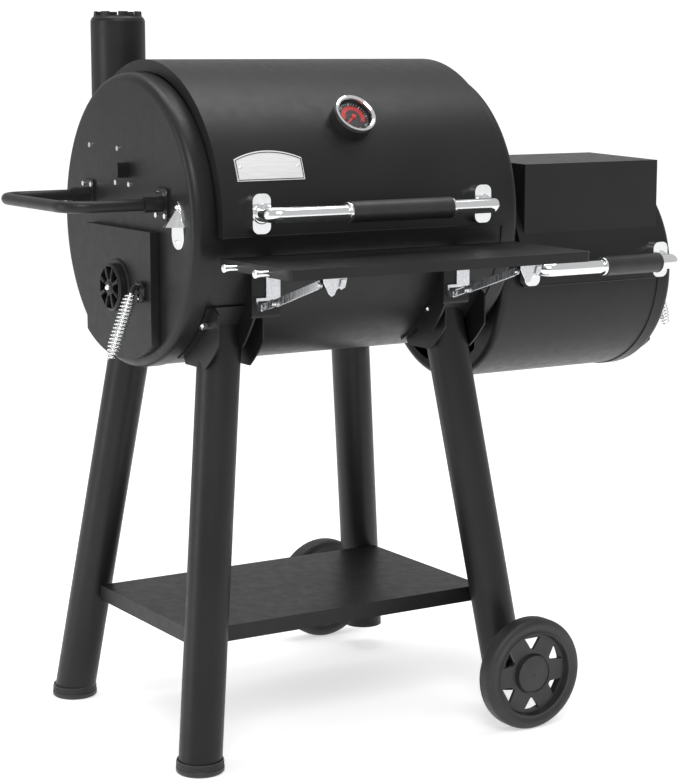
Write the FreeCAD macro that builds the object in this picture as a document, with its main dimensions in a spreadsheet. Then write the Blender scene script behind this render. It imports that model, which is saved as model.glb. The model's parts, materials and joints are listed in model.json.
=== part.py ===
import FreeCAD, Part
import math
import os
import re
import Sketcher

# Offset smoker: a lidded cook chamber on four splayed legs, with a firebox on its right end,
# a folding shelf along its front, a stack behind it and two wheels under its right end.
# All lengths are millimetres.  X runs from the lift handle to the firebox, -Y is the front, +Z is up.

SIZES = [
    ("barrel_x", -146.0, "cook chamber's middle, from the origin"),
    ("barrel_y", 57.5, "cook chamber's axis, from the origin"),
    ("barrel_z", 915.0, "height of the cook chamber's axis"),
    ("barrel_radius", 252.0, "outside of the rolled sheet"),
    ("barrel_half", 326.0, "half length of the rolled sheet"),
    ("sheet", 2.0, "steel sheet"),
    ("cap_rim", 38.0, "width of an end cap's skirt"),
    ("cap_round", 14.0, "round between a cap's skirt and face"),
    ("lid_radius", 276.0, "outside of the lid"),
    ("lid_half", 287.0, "half length of the lid"),
    ("lid_flange", 20.0, "depth of the lid's end flanges"),
    ("lid_front", -2.5, "lid's lower edge, degrees above the axis at the front"),
    ("lid_back", 133.0, "lid's upper rear edge, degrees round from the front"),
    ("mouth_front", 4.0, "chamber mouth's front edge, degrees"),
    ("mouth_back", 129.0, "chamber mouth's rear edge, degrees"),
    ("mouth_half", 266.0, "half length of the chamber's mouth"),
    ("hinge_round", 280.0, "lid hinge's distance from the barrel's axis"),
    ("hinge_angle", 136.5, "lid hinge's place, degrees round from the front"),
    ("pin_radius", 3.0, "every hinge pin"),
    ("running", 0.08, "radial clearance of a running fit"),
    ("gap", 0.4, "space between moving neighbours"),
    ("handle_out", 56.0, "handle bar's centre in front of its lid"),
    ("handle_round", 13.0, "chrome handle bar"),
    ("grip_round", 18.0, "black handle grip"),
    ("handle_rise", 27.0, "main handle's height above the barrel's axis"),
    ("handle_half", 222.0, "main handle's posts, either side of the middle"),
    ("grip_left", -80.0, "main grip's left end"),
    ("grip_right", 122.0, "main grip's right end"),
    ("bracket_wide", 34.0, "handle bracket's width"),
    ("bracket_tall", 66.0, "handle bracket's height"),
    ("gauge_x", -8.0, "thermometer's place along the lid"),
    ("gauge_angle", 38.0, "thermometer's place, degrees above the front"),
    ("gauge_round", 37.0, "thermometer's housing"),
    ("badge_x", -189.0, "badge's middle"),
    ("badge_angle", 22.0, "badge's place, degrees above the front"),
    ("badge_wide", 128.0, "badge's width"),
    ("badge_tall", 38.0, "badge's straight side"),
    ("badge_rise", 14.0, "rise of the badge's arched top"),
    ("fire_left", 331.0, "firebox's inner end"),
    ("fire_right", 735.0, "firebox's outer end"),
    ("fire_z", 789.0, "height of the firebox's axis"),
    ("fire_radius", 199.0, "outside of the firebox sheet"),
    ("fire_rim", 36.0, "width of the firebox caps' skirts"),
    ("fire_lid_radius", 211.0, "outside of the firebox lid"),
    ("fire_lid_left", 371.0, "firebox lid's left end"),
    ("fire_lid_right", 697.0, "firebox lid's right end"),
    ("hood_left", 385.0, "left side of the box on the firebox lid"),
    ("hood_front", 193.0, "front of that box, ahead of the axis"),
    ("hood_back", 13.0, "back of that box, behind the axis"),
    ("hood_top", 1001.0, "height of that box's front edge"),
    ("hood_slope", 6.0, "rise of its top towards the back"),
    ("fire_handle_left", 381.0, "firebox handle's left post"),
    ("fire_handle_right", 683.0, "firebox handle's right post"),
    ("fire_grip_left", 511.0, "firebox grip's left end"),
    ("fire_grip_right", 641.0, "firebox grip's right end"),
    ("fire_handle_rise", 26.0, "firebox handle's height above the firebox's axis"),
    ("leg_radius", 37.4, "leg tube"),
    ("leg_wall", 2.0, "leg tube's wall"),
    ("leg_x", 329.0, "left legs' centre at the floor"),
    ("wheel_leg_x", 323.0, "right legs' centre at the floor"),
    ("leg_y", 254.3, "legs' centre at the floor, from the barrel's axis"),
    ("lean_x", 0.1325, "legs' lean along X for each millimetre up"),
    ("lean_y", 0.1276, "legs' lean along Y for each millimetre up"),
    ("leg_top", 775.0, "height that the leg tubes are cut from"),
    ("foot_radius", 41.5, "foot cap"),
    ("foot_tall", 22.0, "foot cap's height"),
    ("wheel_radius", 101.5, "tyre"),
    ("wheel_wide", 38.0, "tyre's width"),
    ("rim_radius", 81.0, "wheel disc"),
    ("wheel_x", 287.0, "wheels' centre"),
    ("wheel_y", 357.0, "wheels' middle plane, from the barrel's axis"),
    ("axle_radius", 6.0, "stub axles"),
    ("pan_half_x", 302.0, "bottom shelf's half length"),
    ("pan_half_y", 185.0, "bottom shelf's half width"),
    ("pan_top", 224.0, "bottom shelf's height"),
    ("pan_edge", 28.0, "bottom shelf's turned-down edge"),
    ("shelf_left", -290.0, "front shelf's left end"),
    ("shelf_right", 302.0, "front shelf's right end"),
    ("shelf_front", 496.0, "front shelf's outer edge, ahead of the axis"),
    ("shelf_back", 268.0, "front shelf's inner edge"),
    ("shelf_top", 871.0, "front shelf's height"),
    ("shelf_edge", 17.0, "front shelf's turned-down edge"),
    ("shelf_hinge_y", 266.0, "shelf hinge, ahead of the axis"),
    ("shelf_hinge_drop", 17.0, "shelf hinge, below the shelf's top"),
    ("strut_reach", 178.0, "from the shelf hinge to the upper link's pivot, along the shelf"),
    ("strut_half", 6.0, "half width of the struts and links"),
    ("strut_thick", 3.0, "thickness of the struts and links"),
    ("strut_drop", 70.0, "from the shelf hinge down to the lower strut's pivot"),
    ("strut_sink", 14.0, "upper link's pivot below the shelf hinge"),
    ("bracket_left", -215.0, "left folding bracket"),
    ("bracket_right", 171.5, "right folding bracket"),
    ("peg_shank", 5.0, "tool peg's shank"),
    ("peg_head", 7.0, "tool peg's head"),
    ("peg_long", 28.0, "tool peg's length"),
    ("door_front", -126.0, "ash door's latch edge"),
    ("door_back", 128.0, "ash door's hinge edge"),
    ("door_top", 905.0, "ash door's top"),
    ("door_arc", 237.0, "round of the ash door's lower edge"),
    ("door_deep", 16.0, "ash door's depth"),
    ("damper_z", 802.0, "ash damper's centre"),
    ("damper_round", 41.0, "damper rotor"),
    ("latch_y", -94.0, "ash door's latch pivot"),
    ("fire_door_half", 120.0, "firebox door's half width"),
    ("fire_door_top", 80.0, "firebox door's top above the firebox's axis"),
    ("fire_door_arc", 188.0, "round of the firebox door's lower edge"),
    ("fire_damper_drop", 10.0, "firebox damper's centre below the axis"),
    ("neck_long", 10.0, "from the neck's bend to the sprung handle's coil"),
    ("spring_long", 119.0, "sprung door handle"),
    ("spring_round", 12.0, "sprung handle's coil"),
    ("spring_lean", 21.0, "sprung handle's lean from upright, degrees"),
    ("stack_x", -177.0, "stack's centre"),
    ("stack_y", 330.0, "stack's centre behind the barrel's axis"),
    ("stack_radius", 51.0, "stack"),
    ("stack_foot", 890.0, "stack's closed lower end"),
    ("stack_top", 1228.0, "top of the fixed pipe"),
    ("crown_top", 1278.0, "top of the turning cap"),
    ("duct_z", 958.0, "duct's centre"),
    ("duct_radius", 44.0, "duct between the barrel and the stack"),
    ("lift_out", 172.0, "lift handle's reach from the end cap"),
    ("lift_half_y", 143.0, "lift handle's arms, either side of the axis"),
    ("lift_rise", 38.0, "lift handle above the barrel's axis"),
    ("lift_round", 10.0, "lift handle's tube"),
    ("lift_bend", 42.0, "lift handle's bends"),
    ("grate_drop", 42.0, "cooking grates below the barrel's axis"),
    ("coal_drop", 150.0, "charcoal grate below the barrel's axis"),
    ("fire_grate_drop", 110.0, "firebox grate below the firebox's axis"),
    ("rod_round", 2.5, "grate rods"),
]

FUNCTIONS = ("sin", "cos", "tan", "sqrt", "max", "min")
UP = FreeCAD.Rotation()
ALONG_X = FreeCAD.Rotation(FreeCAD.Vector(0, 0, 1), FreeCAD.Vector(1, 0, 0))
ALONG_Y = FreeCAD.Rotation(FreeCAD.Vector(0, 0, 1), FreeCAD.Vector(0, 1, 0))
doc = FreeCAD.newDocument("offset_smoker")
sizes = doc.addObject("Spreadsheet::Sheet", "sizes")
parts = []


def fill_sheet():
    for row, (alias, number, note) in enumerate(SIZES, start=1):
        sizes.set(f"A{row}", alias)
        sizes.set(f"B{row}", str(number))
        sizes.setAlias(f"B{row}", alias)
        sizes.set(f"C{row}", note)
    doc.recompute()


def bound(text):
    """Turn plain sheet names into references to the sheet's cells."""
    def reference(match):
        word = match.group()
        return word if word in FUNCTIONS else "sizes." + word
    return re.sub(r"[a-z][a-z_]+", reference, str(text))


def value(text):
    """The number that an expression in sheet names stands for."""
    return float(sizes.evalExpression(bound(text)))


def bind(item, **properties):
    for name, text in properties.items():
        item.setExpression(name, bound(text))
    return item


def place(item, x, y, z, turn=UP):
    """Put an item at a point given from the barrel's middle, at floor height."""
    item.Placement = FreeCAD.Placement(FreeCAD.Vector(), turn)
    item.setExpression("Placement.Base.x", bound(f"barrel_x + {x}"))
    item.setExpression("Placement.Base.y", bound(f"barrel_y + {y}"))
    item.setExpression("Placement.Base.z", bound(z))
    return item


def block(x, y, z):
    """A box between pairs of bounds."""
    item = doc.addObject("Part::Box", "block")
    bind(item, Length=f"{x[1]} - ({x[0]})", Width=f"{y[1]} - ({y[0]})", Height=f"{z[1]} - ({z[0]})")
    return place(item, x[0], y[0], z[0])


def rod(radius, length, x, y, z, turn=ALONG_X):
    item = doc.addObject("Part::Cylinder", "rod")
    bind(item, Radius=radius, Height=length)
    return place(item, x, y, z, turn)


def wedge_round(radius, length, start, stop, x, z):
    """A slice of a cylinder about an X axis, between angles counted from the front, upwards."""
    item = doc.addObject("Part::Cylinder", "slice")
    bind(item, Radius=radius, Height=length, Angle=f"{stop} - ({start})")
    first = math.radians(value(start))
    own_x = FreeCAD.Vector(0, -math.cos(first), math.sin(first))
    own_y = FreeCAD.Vector(0, math.sin(first), math.cos(first))
    turn = FreeCAD.Rotation(own_x, own_y, FreeCAD.Vector(-1, 0, 0), "ZXY")
    return place(item, f"({x}) + {length}", "0", z, turn)


def cut(base, *tools):
    item = doc.addObject("Part::Cut", "cut")
    item.Base = base
    item.Tool = tools[0] if len(tools) == 1 else fuse(*tools)
    return item


def fuse(*items):
    item = doc.addObject("Part::MultiFuse", "fuse")
    item.Shapes = list(items)
    return item


def common(first, second):
    item = doc.addObject("Part::MultiCommon", "common")
    item.Shapes = [first, second]
    return item


def group(items):
    item = doc.addObject("Part::Compound", "group")
    item.Links = list(items)
    return item


def solid(shape, x="0", y="0", z="0"):
    """A shape made with Part's own functions, for bent tubes and lofted sheet."""
    item = doc.addObject("Part::Feature", "shape")
    item.Shape = shape
    return place(item, x, y, z)


def part(label, item):
    item.Label = label
    parts.append(item)
    return item


def rounded(item, radius, chosen):
    """Round the edges whose middle is chosen."""
    doc.recompute()
    middle = FreeCAD.Vector(value("barrel_x"), value("barrel_y"), 0)
    numbers = [index for index, edge in enumerate(item.Shape.Edges, start=1)
               if chosen(edge.CenterOfMass - middle, edge)]
    fillet = doc.addObject("Part::Fillet", "fillet")
    fillet.Base = item
    fillet.Edges = [(index, value(radius), value(radius)) for index in numbers]
    return fillet


def tube(radius, wall, length, x, y, z, turn=ALONG_X):
    return cut(rod(radius, length, x, y, z, turn),
               rod(f"{radius} - ({wall})", f"{length} + 2", x, y, z, turn))


def profile(body, points, plane="XZ_Plane"):
    """A closed outline in a body's own plane, each corner held by cells of the sheet."""
    sketch = body.newObject("Sketcher::SketchObject", "outline")
    origin = next(item for item in body.Origin.OriginFeatures if item.Role == plane)
    sketch.AttachmentSupport = [(origin, "")]
    sketch.MapMode = "FlatFace"
    corners = [FreeCAD.Vector(value(across), value(up), 0) for across, up in points]
    count = len(corners)
    for index in range(count):
        sketch.addGeometry(Part.LineSegment(corners[index], corners[(index + 1) % count]), False)
    for index in range(count):
        sketch.addConstraint(Sketcher.Constraint("Coincident", index, 2, (index + 1) % count, 1))
    for index, (across, up) in enumerate(points):
        for kind, text, number in (("DistanceX", across, corners[index].x), ("DistanceY", up, corners[index].y)):
            held = sketch.addConstraint(Sketcher.Constraint(kind, -1, 1, index, 1, number))
            sketch.setExpression(f"Constraints[{held}]", bound(text))
    return sketch


def turned(points):
    """A body turned about its own Z axis from (radius, height) corners."""
    body = doc.addObject("PartDesign::Body", "turned")
    sketch = profile(body, points)
    revolution = body.newObject("PartDesign::Revolution", "turn")
    revolution.Profile = sketch
    revolution.ReferenceAxis = (sketch, ["V_Axis"])
    revolution.Angle = 360.0
    body.Tip = revolution
    return body


def padded(points, length, plane="XY_Plane"):
    """A body padded from a flat outline."""
    body = doc.addObject("PartDesign::Body", "padded")
    sketch = profile(body, points, plane)
    pad = body.newObject("PartDesign::Pad", "pad")
    pad.Profile = sketch
    bind(pad, Length=length)
    body.Tip = pad
    return body


def pocket_round(body, points, count, angle="360"):
    """Pocket an outline through a body, and repeat it round the body's Z axis."""
    sketch = profile(body, points, "XY_Plane")
    pocket = body.newObject("PartDesign::Pocket", "pocket")
    pocket.Profile = sketch
    pocket.Type = "ThroughAll"
    pocket.Midplane = True
    pattern = body.newObject("PartDesign::PolarPattern", "round")
    pattern.Originals = [pocket]
    pattern.Axis = (sketch, ["N_Axis"])
    bind(pattern, Angle=angle)
    pattern.Occurrences = count
    body.Tip = pattern
    return body


def bent_rod(corners, bend, radius):
    """A round bar along straight runs, with a tangent arc at every inner corner."""
    points = [FreeCAD.Vector(*corner) for corner in corners]
    edges = []
    start = points[0]
    for before, corner, after in zip(points, points[1:], points[2:]):
        back = (before - corner).normalize()
        ahead = (after - corner).normalize()
        reach = bend / math.tan(back.getAngle(ahead) / 2)
        enter = corner + back * reach
        leave = corner + ahead * reach
        inward = (back + ahead).normalize()
        middle = corner + inward * (math.hypot(reach, bend) - bend)
        edges.append(Part.LineSegment(start, enter).toShape())
        edges.append(Part.Arc(enter, middle, leave).toShape())
        start = leave
    edges.append(Part.LineSegment(start, points[-1]).toShape())
    circle = Part.Wire([Part.makeCircle(radius, points[0], points[1] - points[0])])
    return Part.Wire(edges).makePipeShell([circle], True, True)


def dished_cap(radius, rim, face_x, inward, z):
    """A round end cap with a skirt; inward is 1 when the skirt runs towards +X."""
    low = face_x if inward > 0 else f"{face_x} - {rim}"
    low_inside = f"{face_x} + sheet" if inward > 0 else f"{face_x} - {rim} - 1"
    face = value(face_x)
    inner_face = face + inward * value("sheet")

    def on(place_x):
        return lambda middle, edge: abs(middle.x - place_x) < 0.1 and edge.Length > 100
    outer = rounded(rod(f"{radius} + sheet", rim, low, "0", z), "cap_round", on(face))
    inner = rounded(rod(radius, f"{rim} - sheet + 1", low_inside, "0", z), "cap_round - sheet", on(inner_face))
    return cut(outer, inner)


def shells():
    body = tube("barrel_radius", "sheet", "2 * (barrel_half - cap_round)", "cap_round - barrel_half", "0",
                "barrel_z")
    mouth = wedge_round("barrel_radius + 9", "2 * mouth_half", "mouth_front", "mouth_back",
                        "-mouth_half", "barrel_z")
    flue = rod("duct_radius - sheet", "120", "stack_x", "170", "duct_z", ALONG_Y)
    part("main_shell", cut(body, mouth, flue))
    cap = dished_cap("barrel_radius", "cap_rim", "-(barrel_half + sheet)", 1, "barrel_z")
    hole = common(rod("door_arc - 20", "60", "-barrel_half - 30", "0", "barrel_z"),
                  block(("-barrel_half - 30", "-barrel_half + 30"), ("door_front + 20", "door_back - 20"),
                        ("barrel_z - door_arc", "door_top - 20")))
    part("left_end_cap", cut(cap, hole))
    cap = dished_cap("barrel_radius", "cap_rim", "barrel_half + sheet", -1, "barrel_z")
    part("right_end_cap", cut(cap, window()))
    length = "fire_right - fire_left - 2 * (sheet + cap_round)"
    body = tube("fire_radius", "sheet", length, "fire_left + sheet + cap_round", "0", "fire_z")
    mouth = wedge_round("fire_radius + 8", "fire_lid_right - fire_lid_left - 40", "mouth_front", "mouth_back",
                        "fire_lid_left + 20", "fire_z")
    part("firebox_shell", cut(body, mouth))
    inner = dished_cap("fire_radius", "fire_rim", "fire_left", 1, "fire_z")
    part("firebox_inner_cap", cut(inner, window()))
    outer = dished_cap("fire_radius", "fire_rim", "fire_right", -1, "fire_z")
    hole = common(rod("fire_door_arc - 20", "60", "fire_right - 30", "0", "fire_z"),
                  block(("fire_right - 30", "fire_right + 30"), ("-fire_door_half + 20", "fire_door_half - 20"),
                        ("fire_z - fire_door_arc", "fire_z + fire_door_top - 20")))
    part("firebox_outer_cap", cut(outer, hole))


def window():
    """The way from the firebox into the cook chamber, low in both walls."""
    return common(rod("fire_radius - 24", "60", "fire_left - 30", "0", "fire_z"),
                  block(("fire_left - 30", "fire_left + 30"), ("-115", "115"),
                        ("fire_z - fire_radius", "fire_z - 20")))


def lid_sheet(label, radius, left, right, z, flange, *holes):
    """A rolled lid with a flange at each end that turns in towards the chamber."""
    span = f"{right} - ({left})"
    whole = wedge_round(radius, span, "lid_front", "lid_back", left, z)
    inside = rod(f"{radius} - sheet", f"{span} - 2 * sheet", f"({left}) + sheet", "0", z)
    bore = rod(f"{radius} - ({flange})", f"{span} + 2", f"({left}) - 1", "0", z)
    return part(label, cut(whole, inside, bore, *holes))


def hinge(hinge_x, radius, shell_radius, lid_radius, z):
    """One lid hinge: its pin and fixed knuckles, and the lid's strap, about a pin along X."""
    turn_y = f"{radius} * cos(180 - hinge_angle)"
    turn_z = f"{z} + {radius} * sin(hinge_angle)"
    fixed = [rod("pin_radius", "60", f"{hinge_x} - 30", turn_y, turn_z)]
    for low in (f"{hinge_x} - 30", f"{hinge_x} + 10 + gap"):
        knuckle = cut(rod("pin_radius + 4", "20 - gap", low, turn_y, turn_z),
                      rod("pin_radius", "20 - gap", low, turn_y, turn_z))
        web = cut(wedge_round(f"{radius} - pin_radius - 3", "20 - gap", "hinge_angle - 0.8",
                              "hinge_angle + 0.8", low, z),
                  rod(shell_radius, "20 - gap", low, "0", z))
        fixed.append(fuse(knuckle, web))
    strap = cut(wedge_round(f"{lid_radius} + 3", "20", "lid_back - 14", "hinge_angle - 1", f"{hinge_x} - 10", z),
                rod(lid_radius, "20", f"{hinge_x} - 10", "0", z))
    ring = rod("pin_radius + 4", "20", f"{hinge_x} - 10", turn_y, turn_z)
    bore = rod("pin_radius + running", "20", f"{hinge_x} - 10", turn_y, turn_z)
    return fixed, cut(fuse(strap, ring), bore)


def hinges():
    fixed, straps = [], []
    for hinge_x in ("-190", "190"):
        still, moving = hinge(hinge_x, "hinge_round", "barrel_radius", "lid_radius", "barrel_z")
        fixed += still
        straps.append(moving)
    fire_straps = []
    for hinge_x in ("fire_lid_left + 60", "fire_lid_right - 60"):
        still, moving = hinge(hinge_x, "(fire_lid_radius + 4)", "fire_radius", "fire_lid_radius", "fire_z")
        fixed += still
        fire_straps.append(moving)
    part("hinge_pins_and_knuckles", group(fixed))
    part("lid_hinge_straps", group(straps))
    part("firebox_hinge_straps", group(fire_straps))


def handle(prefix, lid_radius, z, rise, left, right, grip_left, grip_right):
    """A chrome bar on two brackets, with a grip sleeve on it."""
    bar_z = f"{z} + {rise}"
    depth = value(f"{lid_radius} + handle_out")
    root = value(f"{lid_radius} + 14")
    height = value(bar_z)
    low, high = value(left), value(right)
    corners = [(low, -root, height), (low, -depth, height), (high, -depth, height), (high, -root, height)]
    bend = value("handle_round") * 1.5
    part(prefix + "_handle_bar", solid(bent_rod(corners, bend, value("handle_round"))))
    part(prefix + "_handle_grip", cut(
        rod("grip_round", f"{grip_right} - ({grip_left})", grip_left, f"-({lid_radius} + handle_out)", bar_z),
        rod("handle_round", f"{grip_right} - ({grip_left})", grip_left, f"-({lid_radius} + handle_out)", bar_z)))
    blocks = []
    for post in (left, right):
        plate = block((f"{post} - bracket_wide / 2", f"{post} + bracket_wide / 2"),
                      (f"-({lid_radius} + 14)", f"-({lid_radius} - 20)"),
                      (f"{bar_z} - bracket_tall / 2", f"{bar_z} + bracket_tall / 2"))
        soft = rounded(plate, "12", lambda middle, edge: abs(edge.Length - value("34")) < 0.1
                       and abs(edge.tangentAt(edge.FirstParameter).y) > 0.9)
        blocks.append(cut(soft, rod(lid_radius, "bracket_wide", f"{post} - bracket_wide / 2", "0", z)))
    part(prefix + "_handle_brackets", group(blocks))


def facing(angle):
    """The turn that lays a piece's own Z along the barrel's outward normal at a height angle."""
    rise = math.radians(value(angle))
    out = FreeCAD.Vector(0, -math.cos(rise), math.sin(rise))
    return FreeCAD.Rotation(FreeCAD.Vector(1, 0, 0), FreeCAD.Vector(), out, "ZXY")


def on_lid(item, x, angle):
    return place(item, x, f"-lid_radius * cos({angle})", f"barrel_z + lid_radius * sin({angle})", facing(angle))


def thermometer():
    cup = [("0", "-4"), ("gauge_round", "-4"), ("gauge_round", "20"), ("gauge_round - 4", "20"),
           ("gauge_round - 4", "14"), ("0", "14")]
    housing = on_lid(turned(cup), "gauge_x", "gauge_angle")
    part("gauge_housing", cut(housing, rod("lid_radius", "120", "gauge_x - 60", "0", "barrel_z")))
    ring = [("gauge_round - 4", "20"), ("gauge_round", "20"), ("gauge_round", "27"), ("gauge_round - 3", "28"),
            ("gauge_round - 6", "26"), ("gauge_round - 6", "22"), ("gauge_round - 4", "22")]
    part("gauge_bezel", on_lid(turned(ring), "gauge_x", "gauge_angle"))
    dial = [("0", "14"), ("gauge_round - 4.2", "14"), ("gauge_round - 4.2", "15"), ("0", "15")]
    part("gauge_dial", on_lid(turned(dial), "gauge_x", "gauge_angle"))
    lens = [("0", "20"), ("gauge_round - 4.2", "20"), ("gauge_round - 4.2", "21.9"), ("0", "21.9")]
    part("gauge_lens", on_lid(turned(lens), "gauge_x", "gauge_angle"))
    blade = [("-3", "-5"), ("3", "-5"), ("0.8", "gauge_round - 14"), ("-0.8", "gauge_round - 14")]
    needle = padded(blade, "1.2")
    hub = rod("4", "2.5", "0", "0", "0", UP)
    for item in (needle, hub):
        on_lid(item, "gauge_x", "gauge_angle")
        spin = FreeCAD.Rotation(FreeCAD.Vector(0, 0, 1), 130)
        item.Placement.Rotation = facing("gauge_angle").multiply(spin)
        for axis, text in (("y", "-(lid_radius + 16) * cos(gauge_angle)"),
                           ("z", "(lid_radius + 16) * sin(gauge_angle)")):
            home = "barrel_y" if axis == "y" else "barrel_z"
            item.setExpression("Placement.Base." + axis, bound(f"{home} + {text}"))
    part("gauge_needle", fuse(needle, hub))


def badge():
    """A blank plaque with an arched top, rolled to the lid."""
    half = "badge_wide / 2"
    arch = "((badge_wide / 2) * (badge_wide / 2) / badge_rise + badge_rise) / 2"
    foot = "-(badge_tall + badge_rise) / 2"
    plate = padded([(f"-{half}", foot), (half, foot), (half, "badge_tall"), (f"-{half}", "badge_tall")], "30")
    crown = rod(arch, "30", "0", "0", "0", UP)
    on_lid(plate, "badge_x", "badge_angle")
    on_lid(crown, "badge_x", "badge_angle")
    turn = facing("badge_angle")
    drop = value(f"(badge_tall + badge_rise) / 2 - {arch}")
    sink = turn.multVec(FreeCAD.Vector(0, drop, -15))
    back = turn.multVec(FreeCAD.Vector(0, 0, -15))
    for item, move in ((plate, back), (crown, sink)):
        item.setExpression("Placement.Base.y", bound(f"barrel_y - lid_radius * cos(badge_angle) + {move.y}"))
        item.setExpression("Placement.Base.z", bound(f"barrel_z + lid_radius * sin(badge_angle) + {move.z}"))
    skin = tube("lid_radius + 1.6", "1.6", "300", "badge_x - 150", "0", "barrel_z")
    part("badge_plate", common(common(plate, crown), skin))


def lids():
    lid_sheet("lid_shell", "lid_radius", "-lid_half", "lid_half", "barrel_z", "lid_flange")
    handle("lid", "lid_radius", "barrel_z", "handle_rise", "-handle_half", "handle_half", "grip_left", "grip_right")
    thermometer()
    badge()
    lid_sheet("firebox_lid_shell", "fire_lid_radius", "fire_lid_left", "fire_lid_right", "fire_z", "9")
    handle("firebox", "fire_lid_radius", "fire_z", "fire_handle_rise", "fire_handle_left", "fire_handle_right",
           "fire_grip_left", "fire_grip_right")
    hood_box()


def hood_box():
    """The box that stands on the firebox lid, open below where it meets the lid."""
    def outline(inset):
        top = f"hood_top - {inset}"
        return [(f"-hood_front + {inset}", "fire_z"), (f"hood_back - {inset}", "fire_z"),
                (f"hood_back - {inset}", f"{top} + hood_slope"), (f"-hood_front + {inset}", top)]
    outer = padded(outline("0"), "fire_lid_right - hood_left", "YZ_Plane")
    place(outer, "hood_left", "0", "0")
    inner = padded(outline("sheet"), "fire_lid_right - hood_left - 2 * sheet", "YZ_Plane")
    place(inner, "hood_left + sheet", "0", "0")
    span = "fire_lid_right - hood_left + 2"
    core = rod("fire_lid_radius", span, "hood_left - 1", "0", "fire_z")
    part("firebox_lid_box", cut(outer, inner, core))


def stack():
    """The stack behind the barrel, the duct that feeds it and the vented cap that turns on it."""
    pipe = tube("stack_radius", "sheet", "crown_top - 22 - stack_foot", "stack_x", "stack_y", "stack_foot", UP)
    floor = rod("stack_radius", "sheet", "stack_x", "stack_y", "stack_foot", UP)
    inlet = rod("duct_radius - sheet", "60", "stack_x", "stack_y - 60", "duct_z", ALONG_Y)
    part("stack_pipe", cut(fuse(pipe, floor), inlet))
    length = "stack_y - 150"
    duct = cut(rod("duct_radius", length, "stack_x", "150", "duct_z", ALONG_Y),
               rod("duct_radius - sheet", f"{length} + 2", "stack_x", "149", "duct_z", ALONG_Y))
    part("stack_duct", cut(duct, rod("barrel_radius", "2 * barrel_half", "-barrel_half", "0", "barrel_z"),
                           rod("stack_radius", "300", "stack_x", "stack_y", "stack_foot", UP)))
    rim = "stack_radius"
    outline = [(f"{rim} - 5", "-14"), (f"{rim} - sheet - gap", "-14"), (f"{rim} - sheet - gap", "gap"),
               (rim, "gap"), (rim, "4"), (f"{rim} - 2", "9"), (f"{rim} - 6", "13"), (f"{rim} - 7", "22"),
               (f"{rim} - 9", "22"), (f"{rim} - 9", "12"), (f"{rim} - 5", "8")]
    crown = place(turned(outline), "stack_x", "stack_y", "crown_top - 22")
    slots = []
    for index in range(4):
        slot = block(("stack_x - 80", "stack_x + 80"), ("stack_y - 8", "stack_y + 8"),
                     ("crown_top - 7", "crown_top + 5"))
        slot.Placement.Rotation = FreeCAD.Rotation(FreeCAD.Vector(0, 0, 1), 45 * index + 10)
        lean = math.radians(45 * index + 10)
        side, ahead = math.cos(lean), math.sin(lean)
        slot.setExpression("Placement.Base.x", bound(f"barrel_x + stack_x + {8 * ahead - 80 * side}"))
        slot.setExpression("Placement.Base.y", bound(f"barrel_y + stack_y - {8 * side + 80 * ahead}"))
        slots.append(slot)
    part("stack_cap", cut(crown, *slots))


def leg_rod(side_x, side_y, radius, extra="0"):
    """A full-length cylinder on a leg's leaning axis; sides are 1 or -1."""
    floor_x = "leg_x" if side_x < 0 else "wheel_leg_x"
    lean = FreeCAD.Vector(-side_x * value("lean_x"), -side_y * value("lean_y"), 1)
    turn = FreeCAD.Rotation(FreeCAD.Vector(0, 0, 1), lean)
    under = 60
    item = rod(f"{radius} + {extra}", f"(leg_top + {under}) * {lean.Length}",
               f"{side_x} * ({floor_x} + lean_x * {under})", f"{side_y} * (leg_y + lean_y * {under})",
               f"-{under}", turn)
    return item


def legs():
    for name, side_x, low in (("left_legs", -1, "foot_tall - 12"), ("right_legs", 1, "46")):
        tubes = []
        for side_y in (-1, 1):
            hollow = leg_rod(side_x, side_y, "leg_radius", "-leg_wall")
            under = block(("-600", "600"), ("-600", "600"), ("-100", low))
            cope = rod("barrel_radius + 4", "900", "-450", "0", "barrel_z")
            tools = [hollow, under, cope]
            if side_x > 0:
                tools.append(rod("axle_radius", "900", "wheel_x", "-450", "wheel_radius", ALONG_Y))
            tubes.append(cut(leg_rod(side_x, side_y, "leg_radius"), *tools))
        part(name, group(tubes))
    feet = []
    for side_y in (-1, 1):
        cup = turned([("0", "0"), ("foot_radius - 3", "0"), ("foot_radius", "3"), ("foot_radius", "9"),
                      ("foot_radius - 1.5", "10.5"), ("foot_radius - 1.5", "foot_tall"),
                      ("leg_radius - 6", "foot_tall"), ("leg_radius - 6", "foot_tall - 14"),
                      ("0", "foot_tall - 14")])
        place(cup, "-leg_x + lean_x * 11", f"{side_y} * (leg_y - lean_y * 11)", "0")
        socket = cut(leg_rod(-1, side_y, "leg_radius"), block(("-600", "600"), ("-600", "600"),
                                                              ("-100", "foot_tall - 12")))
        feet.append(cut(cup, socket))
    part("foot_caps", group(feet))
    saddles = shelf_arms()
    for side_x in (-1, 1):
        for side_y in (-1, 1):
            saddles.append(saddle(side_x, side_y))
    part("leg_saddles", group(saddles))


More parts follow.
